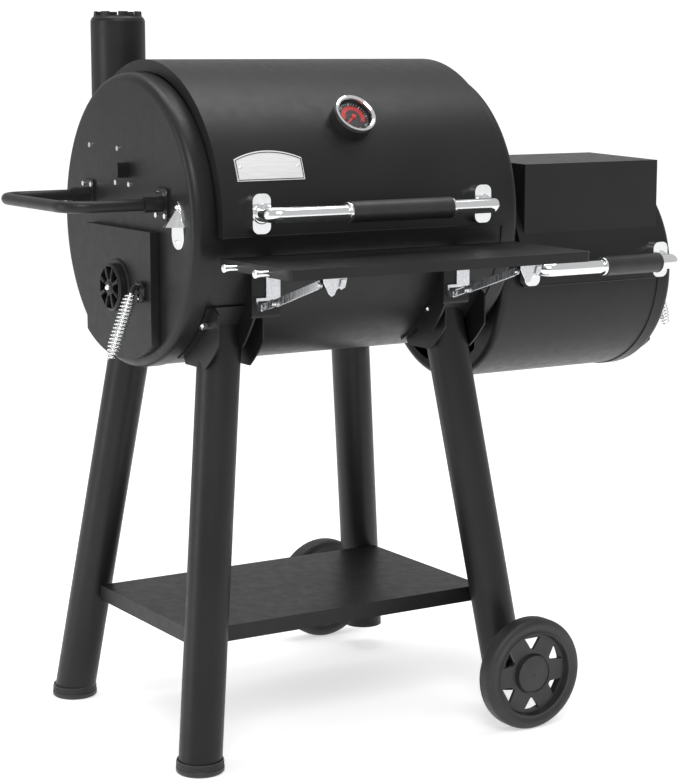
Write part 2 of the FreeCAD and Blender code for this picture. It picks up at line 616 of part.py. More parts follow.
def saddle(side_x, side_y):
    """A rolled plate between a leg's top and the barrel, with a gusset on each side of the leg."""
    floor_x = "leg_x" if side_x < 0 else "wheel_leg_x"
    top_x = f"{side_x} * ({floor_x} - lean_x * 735)"
    first, last = ("-64", "-31") if side_y < 0 else ("211", "244")
    plate = cut(wedge_round("barrel_radius + 4", "112", first, last, f"{top_x} - 56", "barrel_z"),
                rod("barrel_radius", "112", f"{top_x} - 56", "0", "barrel_z"))
    gussets = []
    for offset in ("-44", "41"):
        fin = wedge_round("barrel_radius + 52", "3", first, last, f"{top_x} + {offset}", "barrel_z")
        keep = block((f"{top_x} - 60", f"{top_x} + 60"), ("-235", "235"), ("676", "800"))
        gussets.append(cut(common(fin, keep), rod("barrel_radius + 3", "112", f"{top_x} - 56", "0", "barrel_z")))
    return cut(fuse(plate, *gussets), leg_rod(side_x, side_y, "leg_radius"))


def lower_shelf():
    outer = block(("-pan_half_x", "pan_half_x"), ("-pan_half_y", "pan_half_y"), ("pan_top - pan_edge", "pan_top"))
    inner = block(("-pan_half_x + sheet", "pan_half_x - sheet"), ("-pan_half_y + sheet", "pan_half_y - sheet"),
                  ("pan_top - pan_edge - 1", "pan_top - sheet"))
    corners = [leg_rod(side_x, side_y, "leg_radius") for side_x in (-1, 1) for side_y in (-1, 1)]
    part("bottom_shelf", cut(cut(outer, inner), *corners))


def wheels():
    tip, root = "wheel_y + wheel_wide / 2 - 6", "leg_y - lean_y * wheel_radius"
    stubs = []
    for side, start in ((-1, f"-({tip})"), (1, root)):
        stub = rod("axle_radius", f"{tip} - ({root})", "wheel_x", start, "wheel_radius", ALONG_Y)
        collar_start = f"-({root}) - 62" if side < 0 else f"{root} + 30"
        collar = rod("axle_radius + 7", "32", "wheel_x", collar_start, "wheel_radius", ALONG_Y)
        keep = block(("wheel_x - 20", "wheel_x + 20"), ("-(wheel_y - wheel_wide / 2 - 1)", "wheel_y - wheel_wide / 2 - 1"),
                     ("wheel_radius - 20", "wheel_radius + 20"))
        stubs.append(fuse(stub, cut(common(collar, keep), leg_rod(1, side, "leg_radius"))))
    part("wheel_stubs", group(stubs))
    for name, side in (("front", -1), ("rear", 1)):
        half, edge = "wheel_wide / 2", "wheel_radius - 8"
        tyre = turned([("rim_radius", f"-{half} + 1"), (edge, f"-{half}"), ("wheel_radius - 2", f"-{half} + 5"),
                       ("wheel_radius", f"-{half} + 12"), ("wheel_radius", f"{half} - 12"),
                       ("wheel_radius - 2", f"{half} - 5"), (edge, half), ("rim_radius", f"{half} - 1")])
        face = FreeCAD.Rotation(FreeCAD.Vector(1, 0, 0), -90 * side)
        part(name + "_tyre", place(tyre, "wheel_x", f"{side} * wheel_y", "wheel_radius", face))
        bore = "axle_radius + running"
        disc = turned([(bore, f"-{half} + 2"), ("16", f"-{half} + 2"), ("20", f"{half} - 16"),
                       ("rim_radius - 8", f"{half} - 16"), ("rim_radius - 6", f"-{half} + 3"),
                       ("rim_radius", f"-{half} + 3"), ("rim_radius", f"{half} - 2"),
                       ("rim_radius - 6", f"{half} - 1"), ("rim_radius - 9", f"{half} - 10"),
                       ("37", f"{half} - 10"), ("35", f"{half} - 4"), ("0", f"{half} - 2"), ("0", f"{half} - 5"),
                       (bore, f"{half} - 5")])
        hole = [("-17", "66"), ("-3", "45"), ("3", "45"), ("17", "66")]
        pocket_round(disc, hole, 6)
        part(name + "_wheel_disc", place(disc, "wheel_x", f"{side} * wheel_y", "wheel_radius", face))


SHELF_PIN = ("-shelf_hinge_y", "shelf_top - shelf_hinge_drop")
BRACKETS = ("bracket_left", "bracket_right")


def strut_slope():
    """Slope of a strut and its link, in line when the shelf is up."""
    return math.atan2(value("strut_drop - strut_sink"), value("strut_reach"))


def strut_lengths():
    """Lower strut and upper link: in line when the shelf is up, folded on each other when it is down."""
    up = math.hypot(value("strut_reach"), value("strut_drop - strut_sink"))
    down = math.hypot(value("strut_sink"), value("strut_reach - strut_drop"))
    return (up - down) / 2, (up + down) / 2


def strut(x, start_y, start_z, length):
    """A flat link with round ends, on the line from the bracket's pivot up to the shelf's."""
    along_y, along_z = math.cos(strut_slope()), math.sin(strut_slope())
    far_y, far_z = f"{start_y} - {length * along_y}", f"{start_z} + {length * along_z}"
    ends = [rod("strut_half", "strut_thick", x, start_y, start_z),
            rod("strut_half", "strut_thick", x, far_y, far_z)]
    bar = block((x, f"{x} + strut_thick"), (start_y, f"{start_y} + 2 * strut_half"),
                (start_z, f"{start_z} + {length}"))
    bar.Placement.Rotation = FreeCAD.Rotation(FreeCAD.Vector(1, 0, 0), 90 - math.degrees(strut_slope()))
    bar.setExpression("Placement.Base.y", bound(f"barrel_y + {start_y} - strut_half * {along_z}"))
    bar.setExpression("Placement.Base.z", bound(f"{start_z} - strut_half * {along_y}"))
    return fuse(bar, *ends)


def front_shelf():
    pin_y, pin_z = SHELF_PIN
    top = "shelf_top"
    outer = block(("shelf_left", "shelf_right"), ("-shelf_front", "-shelf_back - 5"), (f"{top} - shelf_edge", top))
    soft = rounded(outer, "12", lambda middle, edge: abs(edge.tangentAt(edge.FirstParameter).z) > 0.9
                   and middle.y < -400)
    inner = block(("shelf_left + sheet", "shelf_right - sheet"),
                  ("-shelf_front + sheet", "-shelf_back - 5 - sheet"), (f"{top} - shelf_edge - 1", f"{top} - sheet"))
    low_y, low_z = pin_y, f"{pin_z} - strut_drop"
    far_y = f"{pin_y} - strut_reach"
    ears, fixed, struts, links = [cut(soft, inner)], [], [], []
    lower, upper = strut_lengths()
    far_z = f"{pin_z} - strut_sink"
    middle_y = f"{low_y} - {lower * math.cos(strut_slope())}"
    middle_z = f"{low_z} + {lower * math.sin(strut_slope())}"
    for x in BRACKETS:
        tongue = block((f"{x} + 30 + gap", f"{x} + 38"), ("-shelf_back - 6", pin_y), (f"{pin_z} - 3", f"{pin_z} + 3"))
        ring = rod("5", "8 - gap", f"{x} + 30 + gap", pin_y, pin_z)
        bore = rod("pin_radius + running", "8 - gap", f"{x} + 30 + gap", pin_y, pin_z)
        ears.append(cut(fuse(tongue, ring), bore))
        ears.append(block((f"{x} + 13", f"{x} + 16"), (f"{far_y} - 6", f"{far_y} + 6"),
                          (f"{far_z} - 6", f"{top} - sheet")))
        ears.append(rod("pin_radius", "6.6", f"{x} + 9.4", far_y, far_z))
        fixed.append(block((f"{x} + 20", f"{x} + 47"), ("-256", "-253"), (f"{low_z} + 10", f"{pin_z} + 5")))
        fixed.append(block((f"{x} + 1", f"{x} + 21"), ("-256", "-253"), (f"{low_z} + 10", f"{low_z} + 15")))
        fixed.append(block((f"{x} + 1", f"{x} + 4"), ("-256", "-253"), (f"{low_z} - 5", f"{low_z} + 15")))
        for low, high in ((f"{x} + 20", f"{x} + 30"), (f"{x} + 38 + gap", f"{x} + 47")):
            knuckle = rod("5", f"{high} - ({low})", low, pin_y, pin_z)
            fixed.append(fuse(knuckle, block((low, high), (pin_y, "-255"), (f"{pin_z} - 5", f"{pin_z} + 5"))))
        fixed.append(rod("pin_radius", "26", f"{x} + 20.5", pin_y, pin_z))
        fixed.append(block((f"{x} + 1", f"{x} + 4"), (f"{low_y} - 5", "-255"), (f"{low_z} - 5", f"{low_z} + 5")))
        fixed.append(rod("pin_radius", "8.1", f"{x} + 1", low_y, low_z))
        struts.append(cut(strut(f"{x} + 6", low_y, low_z, lower),
                          rod("pin_radius + running", "strut_thick", f"{x} + 6", low_y, low_z)))
        links.append(cut(strut(f"{x} + 9.6", middle_y, middle_z, upper),
                         rod("pin_radius + running", "strut_thick", f"{x} + 9.6", far_y, far_z)))
    part("front_shelf", fuse(*ears))
    part("shelf_brackets", fuse(*fixed))
    part("shelf_struts", group(struts))
    part("shelf_links", group(links))
    pegs = []
    for peg_y in ("-432", "-331"):
        shank = rod("peg_shank", "peg_long - 4", "shelf_left - peg_long + 4", peg_y, f"{top} - 10")
        pegs.append(fuse(shank, rod("peg_head", "9", "shelf_left - peg_long", peg_y, f"{top} - 10")))
    part("tool_pegs", group(pegs))


def shelf_arms():
    """Plates that carry the shelf's brackets, from the saddles up the barrel's side."""
    arms = []
    for x in BRACKETS:
        blade = block((f"{x} - 2", f"{x} + 2"), ("-253", "-150"), ("700", "shelf_top - 13"))
        foot = block((f"{x} - 6", f"{x} + 48"), ("-253", "-250.5"), ("shelf_top - 106", "shelf_top - 13"))
        whole = cut(fuse(blade, foot), rod("barrel_radius", "900", "-450", "0", "barrel_z"))
        below = block((f"{x} - 40", f"{x} + 40"), ("-254", "-100"), ("600", "712"))
        corner = rod("barrel_radius + 40", "900", "-450", "0", "barrel_z")
        arms.append(cut(common(whole, corner), below, *[leg_rod(side, -1, "leg_radius") for side in (-1, 1)]))
    return arms


def door(prefix, side, face, centre_z, arc, low_y, high_y, top, damper_z, latch_y):
    """A tray-shaped door on an end cap, with its damper and its sprung latch; side is -1 for the left cap."""
    near = f"{face} + {side} * gap"
    front = f"{face} + {side} * (gap + door_deep)"
    low_x, high_x = (front, near) if side < 0 else (near, front)
    bottom = f"{centre_z} - {arc}"
    outer = common(rod(arc, "door_deep", low_x, "0", centre_z),
                   block((low_x, high_x), (low_y, high_y), (bottom, top)))
    shift = f"{low_x} - ({side}) * sheet"
    inner = common(rod(f"{arc} - sheet", "door_deep", shift, "0", centre_z),
                   block((shift, f"{shift} + door_deep"), (f"{low_y} + sheet", f"{high_y} - sheet"),
                         (bottom, f"{top} - sheet")))
    turn = FreeCAD.Rotation(FreeCAD.Vector(0, 0, 1), FreeCAD.Vector(side, 0, 0))
    spoke = [("-3.5", "14"), ("3.5", "14"), ("11", "36"), ("-11", "36")]
    base = turned([("0", "-sheet"), ("damper_round + 8", "-sheet"), ("damper_round + 8", "2"),
                   ("damper_round + 6", "4"), ("pin_radius", "4"), ("pin_radius", "20"), ("0", "20")])
    pocket_round(base, spoke, 8)
    place(base, front, "0", damper_z, turn)
    opening = rod("damper_round", "30", f"{front} - 15", "0", damper_z)
    stud = rod("pin_radius", "9", f"{front} - 1" if side > 0 else f"{front} - 8", latch_y, damper_z)
    hinge_x, hinge_y = f"{face} + {side} * 6.5", f"{high_y} + 6"
    ears, fixed = [], []
    for ear_z in (f"{top} - 48", f"{top} - 148"):
        ring = rod("pin_radius + 2.5", "30", hinge_x, hinge_y, ear_z, UP)
        leaf = block((f"{hinge_x} - 2", f"{hinge_x} + 2"), (f"{high_y} - 2", hinge_y), (ear_z, f"{ear_z} + 30"))
        bore = rod("pin_radius + running", "30", hinge_x, hinge_y, ear_z, UP)
        ears.append(cut(fuse(ring, leaf), bore))
        fixed.append(rod("pin_radius", "50", hinge_x, hinge_y, f"{ear_z} - 10", UP))
        for low_z in (f"{ear_z} - 10", f"{ear_z} + 30 + gap"):
            knuckle = rod("pin_radius + 2.5", "10 - gap", hinge_x, hinge_y, low_z, UP)
            near_x, far_x = (hinge_x, face) if side < 0 else (face, hinge_x)
            lug = block((near_x, far_x), (f"{hinge_y} - 1", f"{hinge_y} + 5"), (low_z, f"{low_z} + 10 - gap"))
            fixed.append(fuse(knuckle, lug))
    part(prefix + "_door", fuse(cut(cut(outer, inner), opening), base, stud, *ears))
    rotor = turned([("pin_radius + running", "4 + gap"), ("damper_round", "4 + gap"), ("damper_round", "14"),
                    ("damper_round - 3", "17"), ("11", "17"), ("9", "19"), ("pin_radius + running", "19")])
    pocket_round(rotor, spoke, 8)
    part(prefix + "_damper", place(rotor, front, "0", damper_z, turn))
    plate = turned([("pin_radius + running", "gap"), ("15", "gap"), ("15", "4"), ("10", "7"),
                    ("pin_radius + running", "7")])
    place(plate, front, latch_y, damper_z, turn)
    lean = math.radians(value("spring_lean"))
    along = FreeCAD.Vector(side * math.sin(lean), 0, -math.cos(lean))
    neck_z, bend_x = f"{damper_z} + 8.5", f"{front} + {side} * 17"
    straight = rod("4", "14", f"{front} - 17" if side < 0 else f"{front} + 3", latch_y, neck_z)
    drop = FreeCAD.Rotation(FreeCAD.Vector(0, 0, 1), along)
    neck = fuse(straight, rod("4", "neck_long", bend_x, latch_y, neck_z, drop))
    part(prefix + "_latch", cut(fuse(plate, neck), rod("pin_radius + running", "40", f"{front} - 20", latch_y,
                                                       damper_z)))
    coil = turned([("0", "0"), ("8", "0"), ("spring_round", "14"), ("spring_round", "spring_long - 26"),
                   ("7", "spring_long"), ("0", "spring_long")])
    start = value("neck_long")
    place(coil, f"{bend_x} + {start * along.x}", latch_y, f"{neck_z} + {start * along.z}", drop)
    part(prefix + "_spring_handle", coil)
    return fixed


def doors():
    pins = door("ash", -1, "-(barrel_half + sheet)", "barrel_z", "door_arc", "door_front", "door_back",
                "door_top", "damper_z", "latch_y")
    pins += door("fire", 1, "fire_right", "fire_z", "fire_door_arc", "-fire_door_half", "fire_door_half",
                 "fire_z + fire_door_top", "fire_z - fire_damper_drop", "latch_y")
    part("door_hinge_pins", fuse(*pins))


def left_end_fittings():
    face = value("-(barrel_half + sheet)")
    out, arm, height = value("lift_out"), value("lift_half_y"), value("barrel_z + lift_rise")
    corners = [(face - 4, -arm, height), (face - out, -arm, height), (face - out, arm, height),
               (face - 4, arm, height)]
    plates, sleeves, bolts = [], [], []
    for side in (-1, 1):
        middle = f"{side} * lift_half_y"
        plate = block(("-(barrel_half + sheet) - 4", "-(barrel_half + sheet)"), (f"{middle} - 22", f"{middle} + 22"),
                      ("barrel_z + lift_rise - 27", "barrel_z + lift_rise + 27"))
        plates.append(rounded(plate, "6", lambda middle, edge: edge.Length < 4.1))
        sleeves.append(cut(rod("lift_round + 3", "34", "-(barrel_half + sheet) - 38", middle, "barrel_z + lift_rise"),
                           rod("lift_round", "34", "-(barrel_half + sheet) - 38", middle, "barrel_z + lift_rise")))
        for across in (-16, 16):
            for up in (-19, 19):
                bolts.append(rod("4.4", "2.4", "-(barrel_half + sheet) - 6.4", f"{middle} + {across}",
                                 f"barrel_z + lift_rise + {up}"))
    part("lift_handle_plates", group(plates))
    bar = solid(bent_rod(corners, value("lift_bend"), value("lift_round")))
    part("lift_handle", group([bar] + sleeves))
    for bolt_y, bolt_z in (("137", "126"), ("25", "124"), ("34", "65"), ("-18", "64")):
        bolts.append(rod("4.4", "2.4", "-(barrel_half + sheet) - 2.4", bolt_y, f"barrel_z + {bolt_z}"))
    part("end_cap_bolts", group(bolts))
    port = block(("-(barrel_half + sheet) - 20", "-(barrel_half + sheet)"), ("-14", "4"),
                 ("barrel_z + 75", "barrel_z + 101"))
    part("spit_port_plug", rounded(port, "4", lambda middle, edge: abs(edge.tangentAt(edge.FirstParameter).x) > 0.9))
    opener = block(("-(barrel_half + sheet) - 2.5", "-(barrel_half + sheet)"), ("-228", "-171"),
                   ("barrel_z - 34", "barrel_z + 46"))
    lip = tube("28", "2.5", "34", "-(barrel_half + sheet)", "-216", "barrel_z - 8", ALONG_Y)
    half = block(("-(barrel_half + sheet) - 30", "-(barrel_half + sheet)"), ("-228", "-171"),
                 ("barrel_z - 8", "barrel_z + 20"))
    part("bottle_opener", fuse(opener, common(lip, half)))


def grate(low_x, high_x, half_y, z):
    """Rods along Y between two side bars."""
    first, span = f"{low_x} + 8", f"({high_x} - ({low_x}) - 16)"
    count = round(value(span) / 21)
    rods = [rod("rod_round", f"2 * ({half_y})", f"{first} + {span} * {index} / {count}", f"-({half_y})", z, ALONG_Y)
            for index in range(count + 1)]
    for side in (-1, 0, 1):
        rods.append(rod("rod_round", f"{high_x} - ({low_x})", low_x, f"{side} * ({half_y} - 12)",
                        f"{z} - rod_round"))
    return fuse(*rods)


def inside():
    z = "barrel_z - grate_drop"
    part("cooking_grates", group([grate("-312", "-2", "236", z), grate("2", "312", "236", z)]))
    part("charcoal_grate", grate("-290", "290", "188", "barrel_z - coal_drop"))
    part("firebox_grate", grate("fire_left + 30", "fire_right - 40", "154", "fire_z - fire_grate_drop"))
    rails = []
    for side in (-1, 1):
        for level, half in (("grate_drop", "236"), ("coal_drop", "188")):
            inner = f"{side} * ({half} - 4)"
            bounds = (inner, "260") if side > 0 else ("-260", inner)
            shelf = block(("-318", "318"), bounds, (f"barrel_z - {level} - 9", f"barrel_z - {level} - 5"))
            rails.append(common(shelf, rod("barrel_radius - sheet", "700", "-350", "0", "barrel_z")))
    for side in (-1, 1):
        bounds = ("150", "210") if side > 0 else ("-210", "-150")
        shelf = block(("fire_left + 6", "fire_right - 6"), bounds,
                      ("fire_z - fire_grate_drop - 9", "fire_z - fire_grate_drop - 5"))
        rails.append(common(shelf, rod("fire_radius - sheet", "500", "fire_left", "0", "fire_z")))
    part("grate_rails", group(rails))


def build():
    fill_sheet()
    shells()
    lids()
    hinges()
    stack()
    legs()
    lower_shelf()
    wheels()
    front_shelf()
    doors()
    left_end_fittings()
    inside()
    doc.recompute()


def check():
    failed = [item.Name for item in doc.Objects if {"Invalid", "Error"} & set(item.State)]
    bad = [item.Label for item in parts if item.Shape.isNull() or not item.Shape.isValid() or not item.Shape.Solids]
    if failed or bad:
        raise RuntimeError(f"failed: {failed}, not solid: {bad}")


def write():
    os.makedirs("parts", exist_ok=True)
    for item in parts:
        item.Shape.exportStep(f"parts/{item.Label}.step")
    whole = FreeCAD.BoundBox()
    for item in parts:
        whole.add(item.Shape.BoundBox)
    print(f"{len(parts)} parts")
    print(f"X {whole.XMin:.1f} {whole.XMax:.1f}  Y {whole.YMin:.1f} {whole.YMax:.1f}  Z {whole.ZMin:.1f} {whole.ZMax:.1f}")


build()
check()
write()
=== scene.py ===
import json
import math

import bmesh
import bpy
from mathutils import Matrix, Vector


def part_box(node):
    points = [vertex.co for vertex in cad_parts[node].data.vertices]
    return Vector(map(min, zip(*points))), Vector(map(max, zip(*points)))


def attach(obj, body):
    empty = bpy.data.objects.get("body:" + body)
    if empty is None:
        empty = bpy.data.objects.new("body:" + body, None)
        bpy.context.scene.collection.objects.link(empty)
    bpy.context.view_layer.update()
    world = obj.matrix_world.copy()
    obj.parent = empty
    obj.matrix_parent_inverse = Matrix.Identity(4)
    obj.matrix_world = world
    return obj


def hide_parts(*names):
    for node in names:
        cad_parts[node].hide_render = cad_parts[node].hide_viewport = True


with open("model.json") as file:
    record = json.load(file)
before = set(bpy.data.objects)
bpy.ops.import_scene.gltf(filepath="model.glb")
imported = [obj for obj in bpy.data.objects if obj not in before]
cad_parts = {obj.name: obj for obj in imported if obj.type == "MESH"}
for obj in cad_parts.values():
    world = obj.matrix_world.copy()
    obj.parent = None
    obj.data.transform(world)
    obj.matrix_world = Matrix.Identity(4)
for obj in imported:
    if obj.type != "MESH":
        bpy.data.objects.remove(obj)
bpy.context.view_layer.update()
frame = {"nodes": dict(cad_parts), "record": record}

MM = 0.001
X, Y, Z = Vector((1, 0, 0)), Vector((0, 1, 0)), Vector((0, 0, 1))


# Boxes and middles of the fixed parts

def corners(node):
    low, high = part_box(node)
    return Vector(low), Vector(high)


def middle(node):
    low, high = corners(node)
    return (low + high) / 2


BARREL = middle("main_shell")
BARREL_RADIUS = (corners("left_end_cap")[1].z - corners("left_end_cap")[0].z) / 2
LID_RADIUS = corners("lid_shell")[1].z - BARREL.z
FIRE = middle("firebox_shell")
FIRE_RADIUS = (corners("firebox_shell")[1].z - corners("firebox_shell")[0].z) / 2
FIRE_LID_RADIUS = FIRE.y - corners("firebox_lid_shell")[0].y

# The part's own numbers that no box gives
SPRING_LEAN = math.radians(21)
SPRING_MOUTH, SPRING_BODY, SPRING_LONG = 8 * MM, 10.5 * MM, 119 * MM
STRUT_RISE = Vector((0, -178, 56)) * MM
LOWER_STRUT = 38.9 * MM
STRUT_HALF, STRUT_THICK, LINK_STEP = 6 * MM, 3 * MM, 6.4 * MM
SADDLE_RADIUS, SADDLE_SPREAD = 255.5 * MM, 52 * MM
LEFT_SADDLE, RIGHT_SADDLE = -230 * MM, 225 * MM
PEG_HEAD = 7 * MM


# Materials

def shader(name, base, metallic=0.0, roughness=0.5, **sockets):
    material = bpy.data.materials.new(name)
    material.use_nodes = True
    principled = material.node_tree.nodes["Principled BSDF"]
    principled.inputs["Base Color"].default_value = (*base, 1)
    principled.inputs["Metallic"].default_value = metallic
    principled.inputs["Roughness"].default_value = roughness
    for socket, number in sockets.items():
        principled.inputs[socket.replace("_", " ")].default_value = number
    return material, principled


def add(material, kind, **settings):
    node = material.node_tree.nodes.new(kind)
    for name, number in settings.items():
        if name in node.inputs:
            node.inputs[name].default_value = number
        else:
            setattr(node, name, number)
    return node


def noise(material, scale, detail=3.0, stretch=None):
    """Noise in the object's own metres, stretched along an axis if asked."""
    place = add(material, "ShaderNodeTexCoord").outputs["Object"]
    if stretch:
        mapping = add(material, "ShaderNodeMapping")
        mapping.inputs["Scale"].default_value = stretch
        material.node_tree.links.new(place, mapping.inputs["Vector"])
        place = mapping.outputs["Vector"]
    node = add(material, "ShaderNodeTexNoise", Scale=scale, Detail=detail)
    material.node_tree.links.new(place, node.inputs["Vector"])
    return node.outputs["Fac"]


def ramp(material, factor, low, high, start=0.3, stop=0.7):
    node = add(material, "ShaderNodeValToRGB")
    for element, colour, position in zip(node.color_ramp.elements, (low, high), (start, stop)):
        element.position = position
        element.color = (*colour, 1) if not isinstance(colour, float) else (colour, colour, colour, 1)
    material.node_tree.links.new(factor, node.inputs["Fac"])
    return node.outputs["Color"]


def bump(material, principled, factor, strength, distance):
    node = add(material, "ShaderNodeBump", Strength=strength, Distance=distance)
    material.node_tree.links.new(factor, node.inputs["Height"])
    earlier = principled.inputs["Normal"]
    if earlier.is_linked:
        material.node_tree.links.new(earlier.links[0].from_socket, node.inputs["Normal"])
    material.node_tree.links.new(node.outputs["Normal"], principled.inputs["Normal"])


def link(material, output, principled, socket):
    material.node_tree.links.new(output, principled.inputs[socket])


def powder_coat():
    """Satin black powder coat: a fine grain, slow changes of gloss and a little dust."""
    material, principled = shader("satin_black_coat", (0.012, 0.012, 0.013), roughness=0.4)
    link(material, ramp(material, noise(material, 5.0), (0.007, 0.007, 0.0075), (0.012, 0.012, 0.0125)),
         principled, "Base Color")
    link(material, ramp(material, noise(material, 60.0, 5.0), 0.36, 0.45), principled, "Roughness")
    bump(material, principled, noise(material, 1400.0, 2.0), 0.10, 0.0003)
    bump(material, principled, noise(material, 240.0, 2.0), 0.04, 0.0005)
    principled.inputs["Specular IOR Level"].default_value = 0.3
    return material


def chrome():
    material, principled = shader("polished_chrome", (0.86, 0.87, 0.88), 1.0, 0.09)
    link(material, ramp(material, noise(material, 90.0, 4.0), 0.06, 0.13), principled, "Roughness")
    bump(material, principled, noise(material, 30.0, 2.0), 0.03, 0.0006)
    return material


def zinc():
    """Bright zinc plate with a faint spangle and rolling lines."""
    material, principled = shader("zinc_plate", (0.66, 0.67, 0.69), 1.0, 0.28)
    cells = add(material, "ShaderNodeTexVoronoi", Scale=260.0)
    place = add(material, "ShaderNodeTexCoord").outputs["Object"]
    material.node_tree.links.new(place, cells.inputs["Vector"])
    link(material, ramp(material, cells.outputs["Distance"], (0.58, 0.59, 0.61), (0.76, 0.77, 0.79),
                        0.0, 0.8),
         principled, "Base Color")
    link(material, ramp(material, noise(material, 220.0, 4.0, (1, 1, 0.1)), 0.2, 0.36),
         principled, "Roughness")
    return material


def moulded(name, shade, rough, grain):
    material, principled = shader(name, (shade, shade, shade * 1.03), roughness=rough)
    link(material, ramp(material, noise(material, 14.0), (shade * 0.8,) * 3, (shade * 1.35,) * 3),
         principled, "Base Color")
    link(material, ramp(material, noise(material, 45.0, 4.0), rough - 0.06, rough + 0.08),
         principled, "Roughness")
    bump(material, principled, noise(material, grain, 3.0), 0.16, 0.0004)
    return material


def seasoned_iron():
    material, principled = shader("seasoned_iron", (0.035, 0.031, 0.028), 0.6, 0.5)
    link(material, ramp(material, noise(material, 40.0, 6.0), (0.02, 0.018, 0.016), (0.07, 0.055, 0.045)),
         principled, "Base Color")
    bump(material, principled, noise(material, 500.0, 4.0), 0.3, 0.0006)
    return material


def enamel(name, colour, rough=0.3):
    material, principled = shader(name, colour, roughness=rough)
    dark = tuple(part * 0.8 for part in colour)
    link(material, ramp(material, noise(material, 400.0), dark, colour), principled, "Base Color")
    bump(material, principled, noise(material, 2500.0), 0.05, 0.0002)
    return material


def clear_glass():
    material, principled = shader("clear_glass", (1, 1, 1), roughness=0.02, Transmission_Weight=1.0, IOR=1.2,
                                  Alpha=0.25)
    bump(material, principled, noise(material, 60.0), 0.02, 0.0002)
    return material


def brushed_plaque():
    material, principled = shader("brushed_plaque", (0.88, 0.88, 0.88), 0.55, 0.34)
    link(material, ramp(material, noise(material, 900.0, 3.0, (0.03, 1, 1)), (0.80, 0.80, 0.81),
                        (0.93, 0.93, 0.93)),
         principled, "Base Color")
    return material


FINISH = {
    "satin_black": powder_coat(),
    "chrome": chrome(),
    "zinc_plate": zinc(),
    "grip_black": moulded("grip_black", 0.016, 0.42, 700.0),
    "tyre_black": moulded("tyre_black", 0.017, 0.5, 900.0),
    "moulded_black": moulded("moulded_black", 0.014, 0.42, 1100.0),
    "grate_iron": seasoned_iron(),
    "dial_face": enamel("dial_face", (0.012, 0.012, 0.012), 0.35),
    "clear_glass": clear_glass(),
    "needle_red": enamel("needle_red", (0.55, 0.012, 0.015)),
    "plaque_silver": brushed_plaque(),
    "dial_white": enamel("dial_white", (0.8, 0.8, 0.8)),
}


def dress_frame():
    """Every fixed part takes the finish of its material slot."""
    for row in frame["record"]["subparts"]:
        part = frame["nodes"][row["node"]]
        part.data.materials.clear()
        part.data.materials.append(FINISH[row["material_slot"]])


# Ways to make pieces

def finish_piece(piece, body, slot, finish=None, replaces=()):
    piece.data.materials.clear()
    piece.data.materials.append(FINISH[finish or slot])
    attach(piece, body)
    if replaces:
        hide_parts(*replaces)
    return piece


def mesh_piece(name, build, smooth_angle=35):
    shape = bmesh.new()
    build(shape)
    bmesh.ops.remove_doubles(shape, verts=shape.verts, dist=1e-6)
    bmesh.ops.recalc_face_normals(shape, faces=shape.faces)
    data = bpy.data.meshes.new(name)
    shape.to_mesh(data)
    shape.free()
    piece = bpy.data.objects.new(name, data)
    bpy.context.scene.collection.objects.link(piece)
    for face in data.polygons:
        face.use_smooth = True
    data.set_sharp_from_angle(angle=math.radians(smooth_angle))
    return piece


def facing(axis, origin):
    """A placement whose own Z runs along an axis."""
    return Matrix.Translation(origin) @ axis.to_track_quat("Z", "Y").to_matrix().to_4x4()


def add_lathe(shape, profile, place, steps=64):
    """Turn a closed outline of (radius, height) points about a placement's Z axis."""
    rings = []
    for index in range(steps):
        turn = 2 * math.pi * index / steps
        rings.append([shape.verts.new(place @ Vector((r * math.cos(turn), r * math.sin(turn), h)))
                      for r, h in profile])
    for index in range(steps):
        here, ahead = rings[index], rings[(index + 1) % steps]
        for step in range(len(profile)):
            after = (step + 1) % len(profile)
            corner = [here[step], ahead[step], ahead[after], here[after]]
            if profile[step][0] < 1e-7 and profile[after][0] < 1e-7:
                continue
            shape.faces.new(corner)


def rounded_corner(centre, radius, start, stop, steps=5):
    """Points of an arc in (radius, height) space, angles in degrees."""
    return [(centre[0] + radius * math.cos(math.radians(start + (stop - start) * k / steps)),
             centre[1] + radius * math.sin(math.radians(start + (stop - start) * k / steps)))
            for k in range(steps + 1)]


def add_tube(shape, points, radius, sides=12, taper=None):
    """A closed round tube through points."""
    rings = []
    count = len(points)
    reference = None
    for index, point in enumerate(points):
        tangent = (points[min(index + 1, count - 1)] - points[max(index - 1, 0)]).normalized()
        if reference is None:
            reference = tangent.orthogonal().normalized()
        reference = (reference - tangent * reference.dot(tangent)).normalized()
        across = tangent.cross(reference)
        size = radius * (taper(index / (count - 1)) if taper else 1)
        rings.append([shape.verts.new(point + (reference * math.cos(a) + across * math.sin(a)) * size)
                      for a in (2 * math.pi * k / sides for k in range(sides))])
    for here, ahead in zip(rings, rings[1:]):
        for k in range(sides):
            shape.faces.new((here[k], here[(k + 1) % sides], ahead[(k + 1) % sides], ahead[k]))
    shape.faces.new(rings[0][::-1])
    shape.faces.new(rings[-1])


def add_prism(shape, outline, place, depth):
    """A slab of an outline in a placement's XY plane, with softened rims."""
    size = min(depth * 0.25, 0.0006)
    centre = sum((Vector((x, y)) for x, y in outline), Vector((0, 0))) / len(outline)
    loops = []
    for height, inset in ((0, 0), (depth - size, 0), (depth, size)):
        loop = []
        for x, y in outline:
            inward = (centre - Vector((x, y))).normalized() * inset
            loop.append(shape.verts.new(place @ Vector((x + inward.x, y + inward.y, height))))
        loops.append(loop)
    count = len(outline)
    for here, ahead in zip(loops, loops[1:]):
        for k in range(count):
            shape.faces.new((here[k], here[(k + 1) % count], ahead[(k + 1) % count], ahead[k]))
    shape.faces.new(loops[0][::-1])
    shape.faces.new(loops[-1])


